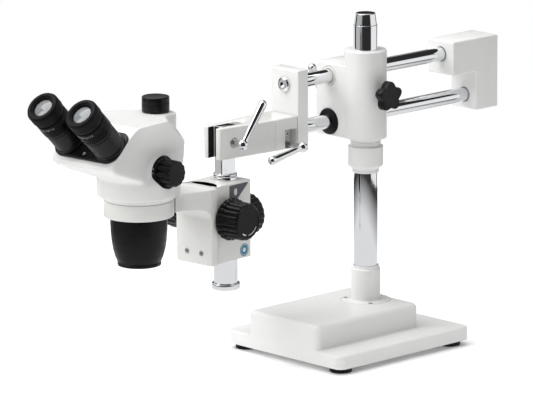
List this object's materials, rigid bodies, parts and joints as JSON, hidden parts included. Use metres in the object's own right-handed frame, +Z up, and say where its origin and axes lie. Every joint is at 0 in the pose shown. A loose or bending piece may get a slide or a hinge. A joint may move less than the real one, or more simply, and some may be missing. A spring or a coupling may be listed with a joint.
{
  "type": "stereo microscope",
  "caption": "Trinocular stereo microscope with a zoom head on a tilting focus mount, hung from a counterweighted double-rod boom on a column with a heavy flat base.",
  "frame": {"origin": "centre of the footprint, on the bench surface under the feet", "axes": "+Z up; -Y the way the boom reaches out to the head; +X the side of the star knob"},
  "size_m": [0.2226, 0.8231, 0.454],
  "materials": {
    "cast_white": "light grey-white powder coat over iron",
    "painted_white": "smooth white enamel",
    "chrome": "polished",
    "steel": "machined",
    "black_metal": "black anodised",
    "black_plastic": "moulded, fine grain",
    "black_rubber": "matt",
    "brass": "machined",
    "nylon": "natural nylon",
    "glass": "polished"
  },
  "bodies": {
    "stand": {"base_casting": "cast_white", "foot_front_left": "black_rubber", "foot_front_right": "black_rubber", "foot_rear_left": "black_rubber", "foot_rear_right": "black_rubber", "column_flange": "painted_white", "column": "chrome", "column_cap": "chrome"},
    "collar": {"stop_collar": "painted_white"},
    "collar_screw": {"collar_screw": "black_metal"},
    "carriage": {"carriage": "painted_white", "upper_bush": "nylon", "lower_bush": "black_plastic"},
    "star_knob": {"star_knob": "black_plastic"},
    "boom_lock": {"boom_lock_stud": "steel", "boom_lock_lever": "chrome"},
    "boom": {"upper_rod": "chrome", "lower_rod": "chrome", "front_block": "painted_white", "rod_end_bolt": "chrome", "rear_block": "cast_white"},
    "arm": {"front_arm": "painted_white"},
    "arm_lock": {"arm_lock_stud": "steel", "arm_lock_lever": "chrome"},
    "tilt_lock": {"tilt_stud": "steel", "tilt_lever": "chrome"},
    "post": {"post_blade": "chrome", "focus_post": "chrome", "post_collar": "chrome"},
    "liner": {"holder_liner": "nylon"},
    "holder": {"post_holder": "painted_white"},
    "post_clamp": {"post_clamp_knob": "black_plastic"},
    "focus_shaft": {"pinion_shaft": "steel", "focus_knob_left": "black_plastic", "focus_knob_right": "black_plastic"},
    "focus_slide": {"focus_slide": "painted_white", "focus_rack": "brass", "bracket_screw_left": "steel", "bracket_screw_right": "steel", "ring_arm": "painted_white"},
    "ring_clamp": {"ring_clamp_screw": "black_metal"},
    "head": {"head_housing": "painted_white", "faceplate": "black_plastic", "zoom_body": "black_metal", "prism_block": "glass", "photo_port": "chrome", "objective_shell": "black_plastic", "objective_lens": "glass"},
    "eyetube_right": {"eyetube_right": "black_metal", "eyepiece_right": "black_rubber", "eye_lens_right": "glass"},
    "eyetube_left": {"eyetube_left": "black_metal", "eyepiece_left": "black_rubber", "eye_lens_left": "glass"},
    "diopter_right": {"diopter_ring_right": "black_metal"},
    "diopter_left": {"diopter_ring_left": "black_metal"},
    "zoom": {"zoom_shaft": "steel", "zoom_knob_left": "black_plastic", "zoom_knob_right": "black_plastic"},
    "port_cap": {"port_cap": "black_plastic"}
  },
  "joints": [
    {"name": "collar_height", "type": "slide", "parent": "stand", "child": "collar", "axis": [0, 0, 1], "range_m": [-0.05, 0.03]},
    {"name": "collar_screw_turn", "type": "hinge", "parent": "collar", "child": "collar_screw", "pos_m": [0, 0.134, 0.2625], "axis": [-0.2419, 0.9703, 0], "range_deg": [-180, 180]},
    {"name": "carriage_swivel", "type": "hinge", "parent": "collar", "child": "carriage", "pos_m": [0, 0.134, 0.346], "axis": [0, 0, 1], "range_deg": [-180, 180]},
    {"name": "star_knob_turn", "type": "hinge", "parent": "carriage", "child": "star_knob", "pos_m": [0, 0.134, 0.346], "axis": [1, 0, 0], "range_deg": [-180, 180]},
    {"name": "boom_lock_turn", "type": "hinge", "parent": "carriage", "child": "boom_lock", "pos_m": [-0.084, 0.134, 0.33], "axis": [1, 0, 0], "range_deg": [-30, 40]},
    {"name": "boom_slide", "type": "slide", "parent": "carriage", "child": "boom", "axis": [0, -1, 0], "range_m": [-0.055, 0.15]},
    {"name": "arm_roll", "type": "hinge", "parent": "boom", "child": "arm", "pos_m": [-0.044, 0.006, 0.303], "axis": [0, 1, 0], "range_deg": [-45, 45]},
    {"name": "arm_lock_turn", "type": "hinge", "parent": "arm", "child": "arm_lock", "pos_m": [0.006, 0.0105, 0.2895], "axis": [1, 0, 0], "range_deg": [-70, 15]},
    {"name": "tilt_lock_turn", "type": "hinge", "parent": "arm", "child": "tilt_lock", "pos_m": [-0.0095, -0.0846, 0.3045], "axis": [1, 0, 0], "range_deg": [-35, 35]},
    {"name": "post_tilt", "type": "hinge", "parent": "arm", "child": "post", "pos_m": [-0.044, -0.0846, 0.3045], "axis": [1, 0, 0], "range_deg": [-30, 20]},
    {"name": "holder_height", "type": "slide", "parent": "post", "child": "liner", "axis": [0, 0, 1], "range_m": [-0.034, 0.004]},
    {"name": "holder_swivel", "type": "hinge", "parent": "liner", "child": "holder", "pos_m": [-0.044, -0.0846, 0.2], "axis": [0, 0, 1], "range_deg": [-60, 60]},
    {"name": "post_clamp_turn", "type": "hinge", "parent": "holder", "child": "post_clamp", "pos_m": [-0.0469, -0.04771, 0.1987], "axis": [-0.0785, 0.9969, 0], "range_deg": [-180, 180]},
    {"name": "focus_travel", "type": "slide", "parent": "holder", "child": "focus_slide", "axis": [0, 0, 1], "range_m": [-0.022, 0.022]},
    {"name": "focus_knobs_turn", "type": "hinge", "parent": "holder", "child": "focus_shaft", "pos_m": [-0.04172, -0.11351, 0.209], "axis": [0.9969, 0.0785, 0], "range_deg": [-195, 195]},
    {"name": "ring_clamp_turn", "type": "hinge", "parent": "focus_slide", "child": "ring_clamp", "pos_m": [-0.06686, -0.22295, 0.2438], "axis": [-0.7826, 0.6225, 0], "range_deg": [-180, 180]},
    {"name": "head_turn", "type": "hinge", "parent": "focus_slide", "child": "head", "pos_m": [-0.03086, -0.25158, 0.245], "axis": [0, 0, 1], "range_deg": [-135, 135]},
    {"name": "eyetube_swing_right", "type": "hinge", "parent": "head", "child": "eyetube_right", "pos_m": [0.01113, -0.34534, 0.33647], "axis": [0.0555, -0.7049, 0.7071], "range_deg": [-25, 25]},
    {"name": "eyetube_swing_left", "type": "hinge", "parent": "head", "child": "eyetube_left", "pos_m": [-0.05766, -0.35075, 0.33647], "axis": [0.0555, -0.7049, 0.7071], "range_deg": [-25, 25]},
    {"name": "diopter_turn_right", "type": "hinge", "parent": "eyetube_right", "child": "diopter_right", "pos_m": [0.01063, -0.339, 0.34284], "axis": [0.0555, -0.7049, 0.7071], "range_deg": [-60, 60]},
    {"name": "diopter_turn_left", "type": "hinge", "parent": "eyetube_left", "child": "diopter_left", "pos_m": [-0.05816, -0.34441, 0.34284], "axis": [0.0555, -0.7049, 0.7071], "range_deg": [-60, 60]},
    {"name": "zoom_turn", "type": "hinge", "parent": "head", "child": "zoom", "pos_m": [-0.03086, -0.25158, 0.297], "axis": [0.9969, 0.0785, 0], "range_deg": [-110, 110]},
    {"name": "port_cap_lift", "type": "slide", "parent": "head", "child": "port_cap", "axis": [0, 0, 1], "range_m": [0, 0.025]}
  ],
  "couplings": [
    {"joint": "focus_knobs_turn", "follows": "focus_travel", "rad_per_m": -151.52},
    {"joint": "eyetube_swing_left", "follows": "eyetube_swing_right", "ratio": -1}
  ]
}
